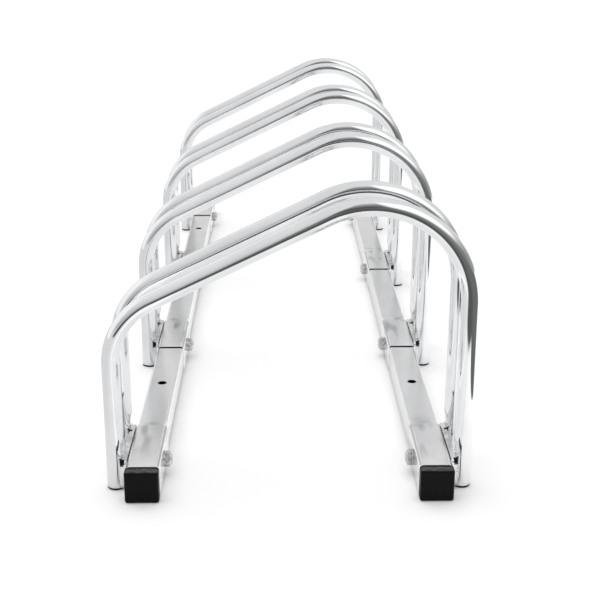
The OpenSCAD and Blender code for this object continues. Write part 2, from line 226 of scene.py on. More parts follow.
class Tree:
    """A node tree being built: each method adds a node and gives back its output."""

    def __init__(self, tree):
        self.tree = tree

    def add(self, kind, inputs=None, **settings):
        node = self.tree.nodes.new(kind)
        for name, value in settings.items():
            setattr(node, name, value)
        for key, value in (inputs or {}).items():
            self.feed(node.inputs[key], value)
        return node

    def feed(self, socket, value):
        """Gives a socket a number, another node's socket or another node's first output."""
        if isinstance(value, bpy.types.Node):
            value = value.outputs[0]
        if isinstance(value, bpy.types.NodeSocket):
            self.tree.links.new(value, socket)
        else:
            socket.default_value = value

    def math(self, operation, *values):
        node = self.add("ShaderNodeMath", operation=operation)
        for socket, value in zip(node.inputs, values):
            self.feed(socket, value)
        return node.outputs[0]

    def plus(self, first, *others):
        """Sum of all the values."""
        for value in others:
            first = self.math("ADD", first, value)
        return first

    def minus(self, value, other):
        return self.math("SUBTRACT", value, other)

    def times(self, first, *others):
        """Product of all the values."""
        for value in others:
            first = self.math("MULTIPLY", first, value)
        return first

    def size(self, value):
        """A number without its sign."""
        return self.math("ABSOLUTE", value)

    def split(self, value):
        return self.add("ShaderNodeSeparateXYZ", {"Vector": value}).outputs

    def join(self, x=0.0, y=0.0, z=0.0):
        return self.add("ShaderNodeCombineXYZ", {"X": x, "Y": y, "Z": z}).outputs[0]

    def stretch(self, place, factors):
        """A place with each axis multiplied by its own factor."""
        node = self.add("ShaderNodeVectorMath", {0: place, 1: factors}, operation="MULTIPLY")
        return node.outputs[0]

    def coordinates(self, kind):
        return self.add("ShaderNodeTexCoord").outputs[kind]

    def grey(self, level):
        """A level as a colour."""
        return self.add("ShaderNodeCombineColor", {"Red": level, "Green": level, "Blue": level}).outputs[0]

    def fade(self, value, low, high, to_low=0.0, to_high=1.0):
        """Smooth step of value between low and high."""
        node = self.add("ShaderNodeMapRange", {
            "Value": value, "From Min": low, "From Max": high,
            "To Min": to_low, "To Max": to_high}, interpolation_type="SMOOTHSTEP")
        return node.outputs["Result"]

    def fall(self, value, low, high):
        """Smooth step that falls from 1 at low to 0 at high."""
        return self.fade(value, low, high, to_low=1.0, to_high=0.0)

    def mix(self, mask, low, high, kind="FLOAT"):
        """Low where the mask is 0 and high where it is 1: numbers, or colours if kind is RGBA."""
        node = self.add("ShaderNodeMix", data_type=kind)
        first, result = MIX_SOCKETS[kind]
        for index, value in ((0, mask), (first, low), (first + 1, high)):
            self.feed(node.inputs[index], value)
        return node.outputs[result]

    def noise(self, place, scale, detail=2.0, roughness=0.5):
        node = self.add("ShaderNodeTexNoise", {
            "Vector": place, "Scale": scale, "Detail": detail, "Roughness": roughness})
        return node.outputs[0]


def new_group(kind, name, inputs, outputs):
    """Empty node group with named sockets: (tree, its input sockets, its output sockets)."""
    group = bpy.data.node_groups.new(name, kind)
    for way, sockets in (("INPUT", inputs), ("OUTPUT", outputs)):
        for label, kind_of_socket, *default in sockets:
            socket = group.interface.new_socket(
                name=label, in_out=way, socket_type="NodeSocket" + kind_of_socket)
            if default:
                socket.default_value = default[0]
    tree = Tree(group)
    return tree, tree.add("NodeGroupInput").outputs, tree.add("NodeGroupOutput").inputs


def new_shape_group(name, sizes, *others):
    """Empty geometry node group with a number for each size, other inputs if any, and a material."""
    inputs = [*others, *((size, "Float") for size in sizes), ("Material", "Material")]
    return new_group("GeometryNodeTree", name, inputs, [("Geometry", "Geometry")])


def end_shape_group(tree, taken, given, geometry):
    """Ends a geometry node group with real geometry in the group's material."""
    whole = tree.add("GeometryNodeRealizeInstances", {"Geometry": geometry})
    done = tree.add("GeometryNodeSetMaterial", {"Geometry": whole, "Material": taken["Material"]})
    tree.feed(given["Geometry"], done)
    return tree.tree


def use_group(tree, name, **inputs):
    """Places a node group in a tree, with underscores in the keywords read as spaces."""
    node = tree.add("ShaderNodeGroup")
    node.node_tree = bpy.data.node_groups[name]
    for key, value in inputs.items():
        tree.feed(node.inputs[key.replace("_", " ")], value)
    return node.outputs


def colour(value, share=1.0):
    """A colour property, made lighter or darker by a share, as the four numbers of a colour socket."""
    return (*(channel * share for channel in value), 1.0)


def zinc_clouds_group():
    """Patches of plating that are a little duller and rougher than the rest."""
    tree, taken, given = new_group(
        "ShaderNodeTree", "zinc_clouds",
        [("Vector", "Vector"), ("Patch Scale", "Float", 30.0), ("Light", "Color", (1, 1, 1, 1)),
         ("Dull", "Color", (0.8, 0.8, 0.8, 1)), ("Gloss", "Float", 0.1), ("Haze", "Float", 0.05)],
        [("Color", "Color"), ("Roughness", "Float")])
    broad = tree.noise(taken["Vector"], taken["Patch Scale"], detail=3.0, roughness=0.55)
    fine = tree.noise(taken["Vector"], tree.times(taken["Patch Scale"], 9.0))
    patches = tree.fade(broad, 0.38, 0.68)
    uneven = tree.plus(patches, tree.times(fine, 0.5))
    tree.feed(given["Color"], tree.mix(patches, taken["Light"], taken["Dull"], "RGBA"))
    tree.feed(given["Roughness"], tree.math("MULTIPLY_ADD", uneven, taken["Haze"], taken["Gloss"]))


def drawn_lines_group():
    """Fine lines along Z, as drawing leaves them on tube."""
    tree, taken, given = new_group(
        "ShaderNodeTree", "drawn_lines",
        [("Vector", "Vector"), ("Across", "Float", 900.0), ("Along", "Float", 8.0)],
        [("Height", "Float")])
    factors = tree.join(taken["Across"], taken["Across"], taken["Along"])
    drawn = tree.stretch(taken["Vector"], factors)
    tree.feed(given["Height"], tree.noise(drawn, scale=1.0, detail=3.0, roughness=0.6))


def plastic_grain_group():
    """Fine moulded grain with dust in it."""
    tree, taken, given = new_group(
        "ShaderNodeTree", "plastic_grain",
        [("Vector", "Vector"), ("Grain Scale", "Float", 2500.0), ("Base", "Color", (0.01, 0.01, 0.01, 1)),
         ("Dusty", "Color", (0.03, 0.03, 0.03, 1)), ("Roughness", "Float", 0.4)],
        [("Color", "Color"), ("Roughness", "Float"), ("Height", "Float")])
    dust = tree.fade(tree.noise(taken["Vector"], scale=180.0, detail=4.0, roughness=0.6), 0.45, 0.75)
    rougher_by = 0.12
    tree.feed(given["Color"], tree.mix(dust, taken["Base"], taken["Dusty"], "RGBA"))
    tree.feed(given["Roughness"], tree.math("MULTIPLY_ADD", dust, rougher_by, taken["Roughness"]))
    tree.feed(given["Height"], tree.noise(taken["Vector"], taken["Grain Scale"]))


def new_material(name, **constants):
    """Material with one Principled shader: (material, its tree, the shader's inputs)."""
    material = bpy.data.materials.new(name)
    material.use_nodes = True
    material.node_tree.nodes.clear()
    tree = Tree(material.node_tree)
    shader = tree.add("ShaderNodeBsdfPrincipled")
    tree.add("ShaderNodeOutputMaterial", {"Surface": shader})
    for key, value in constants.items():
        shader.inputs[key.replace("_", " ")].default_value = value
    return material, tree, shader.inputs


def add_bump(tree, shader, height, distance=1.0):
    node = tree.add("ShaderNodeBump", {"Strength": 1.0, "Distance": distance, "Height": height})
    tree.feed(shader["Normal"], node)


def paint_over(tree, shader, mask, paint):
    """Covers a material's colour with another where the mask is 1."""
    under = shader["Base Color"].links[0].from_socket
    tree.feed(shader["Base Color"], tree.mix(mask, under, paint, "RGBA"))


def lay_zinc(tree, shader, place, lines_place, colours, gloss, haze, patch, across, along):
    """Plating with clouds, in a light and a dull colour: the height of its drawn lines."""
    light, dull = colours
    clouds = use_group(tree, "zinc_clouds", Vector=place, Patch_Scale=patch, Light=light, Dull=dull,
                       Gloss=gloss, Haze=haze)
    tree.feed(shader["Base Color"], clouds["Color"])
    tree.feed(shader["Roughness"], clouds["Roughness"])
    return use_group(tree, "drawn_lines", Vector=lines_place, Across=across, Along=along)["Height"]


def hoop_zinc(finish):
    """Bright plating on tube: its marks run along the tube, read before it was bent."""
    material, tree, shader = new_material("hoop_zinc_bright", Metallic=1.0)
    place = tree.add("ShaderNodeAttribute", attribute_name="tube_place").outputs["Vector"]
    lines = lay_zinc(
        tree, shader, place, place, (colour(finish.zinc), colour(finish.zinc, 0.94)),
        gloss=finish.hoop_gloss, haze=0.02, patch=22.0, across=700.0, along=5.0)
    add_bump(tree, shader, lines, distance=0.000004)
    return material


def flat_zinc(name, finish, share, dull, gloss, haze, patch, across, bump):
    """Plating in the rack's own coordinates: (material, tree, shader's inputs, place, lines' height)."""
    material, tree, shader = new_material(name, Metallic=1.0)
    place = tree.coordinates("Object")
    x, y, z = tree.split(place)
    lines = lay_zinc(
        tree, shader, place, tree.join(x, z, y),
        (colour(finish.rail_zinc, share), colour(finish.rail_zinc, share * dull)),
        gloss, haze, patch, across, along=6.0)
    return material, tree, shader, place, tree.times(lines, bump)


def rail_zinc(finish, sizes):
    """Satin plating, smeared on the worked sockets, with painted highlight on lips and ramps, painted dark
    reflection along the upper corners and painted shade underneath.
    """
    material, tree, shader, place, lines = flat_zinc(
        "rail_zinc_satin", finish, share=1.0, dull=0.93, gloss=finish.rail_gloss, haze=0.04,
        patch=14.0, across=500.0, bump=0.000003)
    across, _, up = tree.split(tree.coordinates("Normal"))
    y = tree.split(place)["Y"]
    from_mouth = tree.math("FLOORED_MODULO", tree.minus(y, RAIL_LOW.y), PITCH)
    ramp_start = sizes.socket_length
    ramp_end = ramp_start + sizes.ramp

    # Smears, strongest towards the end of each socket
    drawn = tree.noise(tree.stretch(place, (1.0, 0.22, 1.0)), scale=110.0, detail=0.0)
    worked = tree.times(tree.fade(from_mouth, 0.0, 0.06), tree.fall(from_mouth, 0.07, 0.12))
    smear = tree.times(tree.fade(drawn, 0.50, 0.74, to_low=0.06, to_high=0.55), worked)
    # Painted dark reflection along the upper corners, darker on the sockets, and painted shade on the
    # lower side of the tube
    corner = tree.times(tree.fade(tree.size(across), 0.40, 0.55), tree.fade(up, 0.55, 0.68))
    on_socket = tree.fall(from_mouth, ramp_start, ramp_start + 0.004)
    painted_corner_reflection = tree.times(corner, tree.mix(on_socket, 0.12, 0.45))
    below = tree.fall(up, -0.50, -0.20)
    dark = tree.math("MAXIMUM", smear, tree.math("MAXIMUM", painted_corner_reflection, below))
    paint_over(tree, shader, dark, (0.22, 0.22, 0.23, 1.0))

    # Painted highlight: a brighter colour on each mouth's lip, and half as bright on each ramp
    lip_width, soft = 0.001, 0.002
    on_lip = tree.fall(from_mouth, 0.9 * lip_width, 1.1 * lip_width)
    on_ramp = tree.times(tree.fade(from_mouth, ramp_start, ramp_start + soft),
                         tree.fall(from_mouth, ramp_end - soft, ramp_end))
    painted_highlight = tree.math("MAXIMUM", on_lip, tree.times(on_ramp, 0.5))
    paint_over(tree, shader, painted_highlight, (0.97, 0.97, 0.97, 1.0))

    wave_height = 0.00016
    waves = tree.times(tree.noise(place, scale=28.0, detail=1.0, roughness=0.4), wave_height)
    add_bump(tree, shader, tree.plus(lines, waves))
    return material


def plate_zinc(finish):
    """Plating over welded steel, speckled by the heat, with painted shade as a black spot in front of each
    leg.
    """
    material, tree, shader, place, lines = flat_zinc(
        "plate_zinc_welded", finish, share=0.95, dull=0.72, gloss=0.14, haze=0.12,
        patch=90.0, across=300.0, bump=0.000002)
    x, y, z = tree.split(place)
    ahead_of_leg, off_rail = 0.0070, 0.0041
    core, rim = 0.0010, 0.0026
    # Measured from a quarter of the pitch in front of each pair
    first_leg = PITCH / 4
    along = tree.math("FLOORED_MODULO", tree.minus(y, middle("hoop_1_front").y - first_leg), PITCH)
    by_leg = []
    for leg in (first_leg, first_leg + HOOP_SPACING):
        by_leg.append(tree.fade(tree.size(tree.minus(along, leg - ahead_of_leg)), rim, core))
    from_rail = tree.size(tree.minus(tree.size(x), PLATE_LOW.x + off_rail))
    below_top, height = 0.0065, 0.0020
    by_top = tree.fade(z, PLATE_HIGH.z - below_top, PLATE_HIGH.z - below_top + height)
    # Painted shade: a black spot in the hollow where weld, leg and plate meet
    painted_shade_spot = tree.times(tree.math("MAXIMUM", *by_leg), tree.fade(from_rail, rim, core), by_top)
    paint_over(tree, shader, tree.fade(painted_shade_spot, 0.10, 0.60), (0.012, 0.012, 0.014, 1.0))
    speckle = tree.add("ShaderNodeTexVoronoi", {"Vector": place, "Scale": 900.0}).outputs["Distance"]
    speckle_height = 0.00006
    add_bump(tree, shader, tree.plus(lines, tree.times(speckle, speckle_height)))
    return material


def fastener_zinc(finish):
    """Plating on bolts, washers and nuts, duller in small patches."""
    material, tree, shader, _, lines = flat_zinc(
        "fastener_zinc_dull", finish, share=0.80, dull=0.70, gloss=0.20, haze=0.12,
        patch=160.0, across=900.0, bump=0.000004)
    add_bump(tree, shader, lines)
    return material


def black_plastic(name, finish, roughness):
    """Moulded black plastic with a fine grain, lighter where it faces up: dust and a painted sheen."""
    material, tree, shader = new_material(name, IOR=1.48, Specular_IOR_Level=0.10)
    place = tree.coordinates("Object")
    grain = use_group(
        tree, "plastic_grain", Vector=place, Grain_Scale=1800.0, Base=colour(finish.black),
        Dusty=colour(finish.black, 1.8), Roughness=roughness)
    tree.feed(shader["Base Color"], grain["Color"])
    tree.feed(shader["Roughness"], grain["Roughness"])
    # Dust and painted sheen: lighter on faces that look up, in smeared patches
    up = tree.split(tree.coordinates("Normal"))["Z"]
    smears = tree.noise(tree.stretch(place, (0.3, 1.0, 1.0)), scale=700.0, detail=1.0)
    dust_and_painted_sheen = tree.times(tree.fade(up, 0.55, 0.98), tree.fade(smears, 0.35, 0.65, to_low=0.3, to_high=1.0))
    paint_over(tree, shader, dust_and_painted_sheen, (0.10, 0.098, 0.10, 1.0))
    add_bump(tree, shader, grain["Height"], distance=0.00003)
    return material


def bake(context, piece):
    """Replaces a piece's mesh by what its modifiers make of it."""
    graph = context.evaluated_depsgraph_get()
    evaluated = piece.evaluated_get(graph)
    mesh = bpy.data.meshes.new_from_object(evaluated, preserve_all_data_layers=True, depsgraph=graph)
    piece.modifiers.clear()
    piece.data = mesh
    mesh.name = piece.name


def grow(context, name, group, values, base=None):
    """Mesh object that a geometry node group makes from named inputs, and from a base mesh if given."""
    piece = bpy.data.objects.new(name, base or bpy.data.meshes.new(name))
    context.scene.collection.objects.link(piece)
    modifier = piece.modifiers.new("Shape", "NODES")
    modifier.node_group = group
    for socket in group.interface.items_tree:
        if socket.in_out == "INPUT" and socket.name in values:
            modifier[socket.identifier] = values[socket.name]
    bake(context, piece)
    if not piece.data.polygons:
        raise RuntimeError(f"{name} came out empty")
    return piece


def settle(piece, slot, *nodes):
    """Ties a finished piece to the rack and shows it instead of CAD nodes."""
    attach(piece, BODY)
    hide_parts(*nodes)


def sweep_hoop(tree, taken):
    """Tube along a filleted four-point path, which keeps its straight place as an attribute."""
    reach, place, bend_points = taken["Leg Reach"], taken["Place"], 160
    left = tree.times(reach, -1.0)
    path = tree.add("GeometryNodeCurvePrimitiveQuadrilateral", {
        "Point 1": tree.join(left, place, taken["Foot"]),
        "Point 2": tree.join(left, place, taken["Low Corner"]),
        "Point 3": tree.join(reach, place, taken["High Corner"]),
        "Point 4": tree.join(reach, place, taken["Foot"])}, mode="POINTS")
    opened = tree.add("GeometryNodeSetSplineCyclic", {"Geometry": path, "Cyclic": False})
    is_high = tree.math("GREATER_THAN", tree.add("GeometryNodeInputIndex"), 1.5)
    bent = tree.add("GeometryNodeFilletCurve", {
        "Curve": opened, "Count": bend_points,
        "Radius": tree.mix(is_high, taken["Low Bend"], taken["High Bend"])}, mode="POLY")
    even = tree.add("GeometryNodeResampleCurve", {
        "Curve": bent, "Length": taken["Step"]}, mode="LENGTH")
    run = tree.add("GeometryNodeCaptureAttribute", domain="POINT")
    run.capture_items.new("FLOAT", "Run")
    tree.feed(run.inputs[0], even)
    tree.feed(run.inputs["Run"], tree.add("GeometryNodeSplineParameter").outputs["Length"])
    ring = tree.add("GeometryNodeCurvePrimitiveCircle", {
        "Resolution": taken["Sides"], "Radius": taken["Tube Radius"]}, mode="RADIUS")
    around = tree.add("GeometryNodeCaptureAttribute", domain="POINT")
    around.capture_items.new("VECTOR", "Round")
    tree.feed(around.inputs[0], ring)
    tree.feed(around.inputs["Round"], tree.add("GeometryNodeInputPosition"))
    tube = tree.add("GeometryNodeCurveToMesh", {
        "Curve": run, "Profile Curve": around, "Fill Caps": True})
    x, y, _ = tree.split(around.outputs["Round"])
    # Shifted by the hoop's place, so that no two hoops share their marks
    shift = 7.0
    along = tree.plus(run.outputs["Run"], tree.times(place, shift))
    stored = tree.add("GeometryNodeStoreNamedAttribute", {
        "Geometry": tube, "Name": "tube_place", "Value": tree.join(x, y, along)},
        data_type="FLOAT_VECTOR", domain="POINT")
    return stored


def press_flats(tree, taken, tube):
    """Presses the rail side of both legs flat, with a runout on an arc."""
    x, y, z = tree.split(tree.add("GeometryNodeInputPosition"))
    depth, runout = taken["Flat Depth"], taken["Flat Runout"]
    arc = tree.math("DIVIDE", tree.math("MULTIPLY_ADD", runout, runout, tree.times(depth, depth)),
                    tree.times(depth, 2.0))
    above = tree.math("MAXIMUM", tree.minus(z, taken["Flat Height"]), 0.0)
    chord = tree.math("SQRT", tree.minus(tree.times(arc, arc), tree.times(above, above)))
    kept = tree.minus(depth, tree.minus(arc, chord))
    wall = tree.plus(tree.minus(taken["Leg Reach"], taken["Tube Radius"]), kept)
    pressed = tree.times(tree.math("SIGN", x), tree.math("MAXIMUM", tree.size(x), wall))
    low_part = tree.math("LESS_THAN", z, tree.plus(taken["Flat Height"], runout))
    flatted = tree.add("GeometryNodeSetPosition", {
        "Geometry": tube, "Selection": low_part, "Position": tree.join(pressed, y, z)})
    return flatted


def hoop_group():
    """Bent tube hoop with the flats pressed into both legs."""
    tree, taken, given = new_shape_group(
        "bent_tube_hoop",
        ("Place", "Leg Reach", "Foot", "Low Corner", "High Corner", "Low Bend", "High Bend", "Tube Radius",
         "Flat Depth", "Flat Height", "Flat Runout", "Step"), ("Sides", "Int"))
    return end_shape_group(tree, taken, given, press_flats(tree, taken, sweep_hoop(tree, taken)))


def smooth_sides(mesh):
    """Shades the four-sided faces smooth and keeps end faces flat."""
    for face in mesh.polygons:
        face.use_smooth = len(face.vertices) == 4


def rounded(half_width, half_height, radius, steps=6):
    """Rounded rectangle about the origin, anticlockwise."""
    a, b = half_width - radius, half_height - radius
    centres = ((a, b), (-a, b), (-a, -b), (a, -b))
    return [(cx + radius * math.cos(turn), cy + radius * math.sin(turn))
            for k, (cx, cy) in enumerate(centres)
            for turn in (math.pi / 2 * (k + s / steps) for s in range(steps + 1))]


def round_ring(radius, count=48):
    """Circle about the origin, anticlockwise."""
    turns = [math.tau * i / count for i in range(count)]
    return [(radius * math.cos(turn), radius * math.sin(turn)) for turn in turns]


def hex_ring(across, limit, turn=0.0, count=48):
    """Hexagon about the origin whose corners are cut back to a limiting radius."""
    ring = []
    for i in range(count):
        angle = math.tau * i / count
        side = across / 2 / math.cos(angle % (math.pi / 3) - math.pi / 6)
        radius = min(side, limit)
        ring.append((radius * math.cos(angle + turn), radius * math.sin(angle + turn)))
    return ring


def along_x(ring, x, y=0.0, z=0.0):
    return [(x, y + u, z + v) for u, v in ring]


def along_y(ring, y, x=0.0, z=0.0):
    return [(x + u, y, z + v) for u, v in ring]


def along_z(ring, z, x=0.0, y=0.0):
    return [(x + u, y + v, z) for u, v in ring]


class Skin:
    """Closed surface built by joining rings of points."""

    def __init__(self):
        self.points, self.faces = [], []

    def loft(self, rings, joined=False):
        """Joins rings of equal count; the last meets the first, or both ends are closed by a face."""
        start, count = len(self.points), len(rings[0])
        last = len(rings) - 1
        for ring in rings:
            self.points += ring
        pairs = [(k, k + 1) for k in range(last)] + ([(last, 0)] if joined else [])
        for a, b in pairs:
            for i in range(count):
                j = (i + 1) % count
                corners = (a * count + i, a * count + j, b * count + j, b * count + i)
                self.faces.append(tuple(start + corner for corner in corners))
        if not joined:
            for first in (start, start + last * count):
                self.faces.append(tuple(range(first, first + count)))
        return self

    def make(self, context, name):
        """Object with this surface, its faces turned outwards."""
        mesh = bpy.data.meshes.new(name)
        mesh.from_pydata(self.points, [], self.faces)
        shape = bmesh.new()
        shape.from_mesh(mesh)
        bmesh.ops.recalc_face_normals(shape, faces=shape.faces)
        shape.to_mesh(mesh)
        shape.free()
        piece = bpy.data.objects.new(name, mesh)
        context.scene.collection.objects.link(piece)
        return piece


def drill(context, piece, cutters):
    """Cuts the cutters' solids out of a piece."""
    for cutter in cutters:
        cut = piece.modifiers.new("Hole", "BOOLEAN")
        cut.operation, cut.solver, cut.object = "DIFFERENCE", "EXACT", cutter
    bake(context, piece)


def shade(context, piece, material, sharp=math.radians(38)):
    """Smooth shading that keeps the flats flat and the sharp edges sharp, and the piece's material."""
    mesh = piece.data
    for face in mesh.polygons:
        face.use_smooth = True
    mesh.set_sharp_from_angle(angle=sharp)
    weigh = piece.modifiers.new("Normals", "WEIGHTED_NORMAL")
    weigh.keep_sharp, weigh.weight = True, 50
    bake(context, piece)
    piece.data.materials.clear()
    piece.data.materials.append(material)


def bolt_place(sizes, place):
    """Where along the rack the bolt of a place is."""
    low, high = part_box("bolts")
    first, last = low.y + sizes.hex_width / 2, high.y - sizes.hex_width / 2
    return first + (place - 1) * (last - first) / (len(PLACES) - 1)


def bolt_pins(context, sizes, axis):
    """Long pins across the rack that cut the bolt holes of each place."""
    reach = PLATE_HIGH.x + sizes.head
    ring = round_ring(sizes.bolt / 2 + sizes.bolt_play)
    pins = []
    for place in PLACES:
        skin = Skin().loft([along_x(ring, x, bolt_place(sizes, place), axis) for x in (-reach, reach)])
        pins.append(skin.make(context, f"pin_{place}"))
    return pins


def ground_pins(context, sizes, node):
    """Upright pin that cuts a rail's ground hole, if it has one."""
    if node not in GROUND_HOLES:
        return []
    x, y = middle(node).x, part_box(node)[0].y + GROUND_HOLES[node]
    ring = round_ring(sizes.hole / 2)
    skin = Skin().loft([along_z(ring, z, x, y) for z in (-sizes.hole, 2 * sizes.socket)])
    return [skin.make(context, "screw_" + node)]


def discard(pieces):
    for piece in pieces:
        bpy.data.objects.remove(piece)


def join(piece, other):
    """Adds another piece's mesh to a piece."""
    both = bmesh.new()
    both.from_mesh(piece.data)
    both.from_mesh(other.data)
    both.to_mesh(piece.data)
    both.free()
    discard([other])


def ripple_bead(tree, taken, jitter_place):
    """One rippled bead on an upright line, and how thick it is at its place."""
    row_count, sides, ripple = 97, 24, 0.14
    line = tree.add("GeometryNodeCurvePrimitiveLine", {
        "Start": tree.join(z=tree.minus(taken["Low"], taken["Radius"])),
        "End": tree.join(z=tree.plus(taken["High"], taken["Radius"]))})
    rows = tree.add("GeometryNodeResampleCurve", {"Curve": line, "Count": row_count}, mode="COUNT")
    part = tree.add("GeometryNodeSplineParameter").outputs["Factor"]
    wave = tree.size(tree.math("SINE", tree.times(part, taken["Ripples"], math.pi)))
    swell = tree.math("MULTIPLY_ADD", wave, ripple, 1 - ripple)
    from_middle = tree.size(tree.math("MULTIPLY_ADD", part, 2.0, -1.0))
    # Just under 1, so that the bead's ends keep a hair of width
    ends = tree.math("SQRT", tree.minus(1.0, tree.math("POWER", tree.times(from_middle, 0.9999), 8.0)))
    ring = tree.add("GeometryNodeCurvePrimitiveCircle", {
        "Resolution": sides, "Radius": 1.0}, mode="RADIUS")
    bead = tree.add("GeometryNodeCurveToMesh", {
        "Curve": rows, "Profile Curve": ring, "Fill Caps": True,
        "Scale": tree.times(swell, ends, taken["Radius"])})
    jitter = tree.noise(tree.join(*jitter_place, tree.times(part, 3.0)), scale=9.0)
    thinnest, spread = 0.88, 0.2
    return bead, tree.math("MULTIPLY_ADD", jitter, spread, thinnest)


def weld_group():
    """Four rippled beads: one on each side of both legs of a pair."""
    tree, taken, given = new_shape_group(
        "weld_beads",
        ("Side", "Plane", "Place", "Spacing", "Offset", "Low", "High", "Radius"), ("Ripples", "Int"))
    plane = tree.times(taken["Plane"], taken["Side"])
    number = tree.add("GeometryNodeInputIndex")
    leg = tree.math("FLOOR", tree.math("DIVIDE", number, 2.0))
    flank = tree.math("MULTIPLY_ADD", tree.math("MODULO", number, 2.0), 2.0, -1.0)
    y = tree.plus(tree.times(leg, taken["Spacing"]), tree.times(flank, taken["Offset"]), taken["Place"])
    spots = tree.add("GeometryNodePoints", {"Count": 4, "Position": tree.join(plane, y)})
    bead, thickness = ripple_bead(tree, taken, (y, plane))
    several = tree.add("GeometryNodeInstanceOnPoints", {
        "Points": spots, "Instance": bead, "Scale": tree.join(thickness, thickness, 1.0)})
    return end_shape_group(tree, taken, given, several)


def repeat_group():
    """Sets its geometry, made for the right side, at the bolt of each place on both sides."""
    tree, taken, given = new_shape_group("at_bolts", ("First", "Pitch", "Axis"), ("Geometry", "Geometry"))
    number = tree.add("GeometryNodeInputIndex")
    place = tree.math("FLOOR", tree.math("DIVIDE", number, 2.0))
    y = tree.math("MULTIPLY_ADD", place, taken["Pitch"], taken["First"])
    spots = tree.add("GeometryNodePoints", {
        "Count": 2 * len(PLACES), "Position": tree.join(0.0, y, taken["Axis"])})
    half_turn = tree.times(tree.math("MODULO", number, 2.0), math.pi)
    several = tree.add("GeometryNodeInstanceOnPoints", {
        "Points": spots, "Instance": taken["Geometry"], "Rotation": tree.join(z=half_turn)})
    return end_shape_group(tree, taken, given, several)


class RackOperator:
    """What all the rack's operators share."""

    bl_options = {"REGISTER", "UNDO"}


class RACK_OT_hoops(RackOperator, bpy.types.Operator):
    """Sweeps the eight bent tube hoops"""

    bl_idname = "rack.hoops"
    bl_label = "Hoops"

    def execute(self, context):
        sizes = context.scene.rack_hoops
        group, material = hoop_group(), hoop_zinc(context.scene.rack_finish)
        for node in HOOPS:
            piece = grow(context, "tube_" + node, group, {
                "Place": middle(node).y, "Leg Reach": sizes.leg_reach, "Foot": sizes.foot,
                "Low Corner": sizes.low_corner, "High Corner": sizes.high_corner,
                "Low Bend": sizes.low_bend, "High Bend": sizes.high_bend,
                "Tube Radius": sizes.tube_radius, "Flat Depth": sizes.flat_depth,
                "Flat Height": sizes.flat_height, "Flat Runout": sizes.flat_runout,
                "Step": sizes.step, "Sides": sizes.sides, "Material": material})
            smooth_sides(piece.data)
            settle(piece, "hoop_zinc", node)
        return {"FINISHED"}


def ramp_share(part):
    """Share of a socket's extra width that is left at a part of its ramp, half straight and half eased."""
    eased = part ** 2 * (3 - 2 * part)
    return 1 - (part + eased) / 2


class RACK_OT_rails(RackOperator, bpy.types.Operator):
    """Draws the square tube rails with their widened sockets"""

    bl_idname = "rack.rails"
    bl_label = "Rails"

    def execute(self, context):
        sizes, plates = context.scene.rack_rails, context.scene.rack_plates
        material = rail_zinc(context.scene.rack_finish, sizes)
        pins = bolt_pins(context, plates, sizes.socket / 2)
        for node in RAILS:
            low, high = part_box(node)
            piece = self.tube(sizes, node).make(context, "tube_" + node)
            bolts = [pin for place, pin in zip(PLACES, pins) if low.y < bolt_place(plates, place) < high.y]
            screws = ground_pins(context, sizes, node)
            drill(context, piece, bolts + screws)
            discard(screws)
            shade(context, piece, material)
            settle(piece, "rail_zinc", node)
        discard(pins)
        return {"FINISHED"}

    def tube(self, sizes, node):
        """Mouth lip, socket, ramp and plain tube on the outside, and back to the mouth inside."""
        low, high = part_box(node)
        x, axis, plain = middle(node).x, sizes.socket / 2, sizes.width / 2
        growth, lip = axis - plain, sizes.lip
        steps, ramp_start = 8, low.y + sizes.socket_length
        parts = [step / steps for step in range(steps + 1)]
        ramp = [(ramp_start + sizes.ramp * part, growth * ramp_share(part)) for part in parts]
        broken_edge = ((0.0, 1.0), (0.3, 0.3), (1.0, 0.0))
        mouth = [(low.y + depth * lip, growth - cut * lip) for depth, cut in broken_edge]
        outer = [*mouth, *ramp, (high.y - lip, 0.0), (high.y, -lip)]
        inner = [(high.y, -sizes.wall)] + [(y, extra - sizes.wall) for y, extra in reversed(ramp)]
        rings = [along_y(rounded(plain + extra, plain + extra, sizes.corner + extra), y, x, axis)
                 for y, extra in outer + inner]
        seat = rounded(plain + sizes.seat, plain + sizes.mouth_gap / 2, sizes.corner)
        seat_axis = axis + sizes.mouth_gap / 2 - sizes.seat
        rings += [along_y(seat, y, x, seat_axis) for y in (low.y + sizes.seat_depth, low.y)]
        return Skin().loft(rings, joined=True)


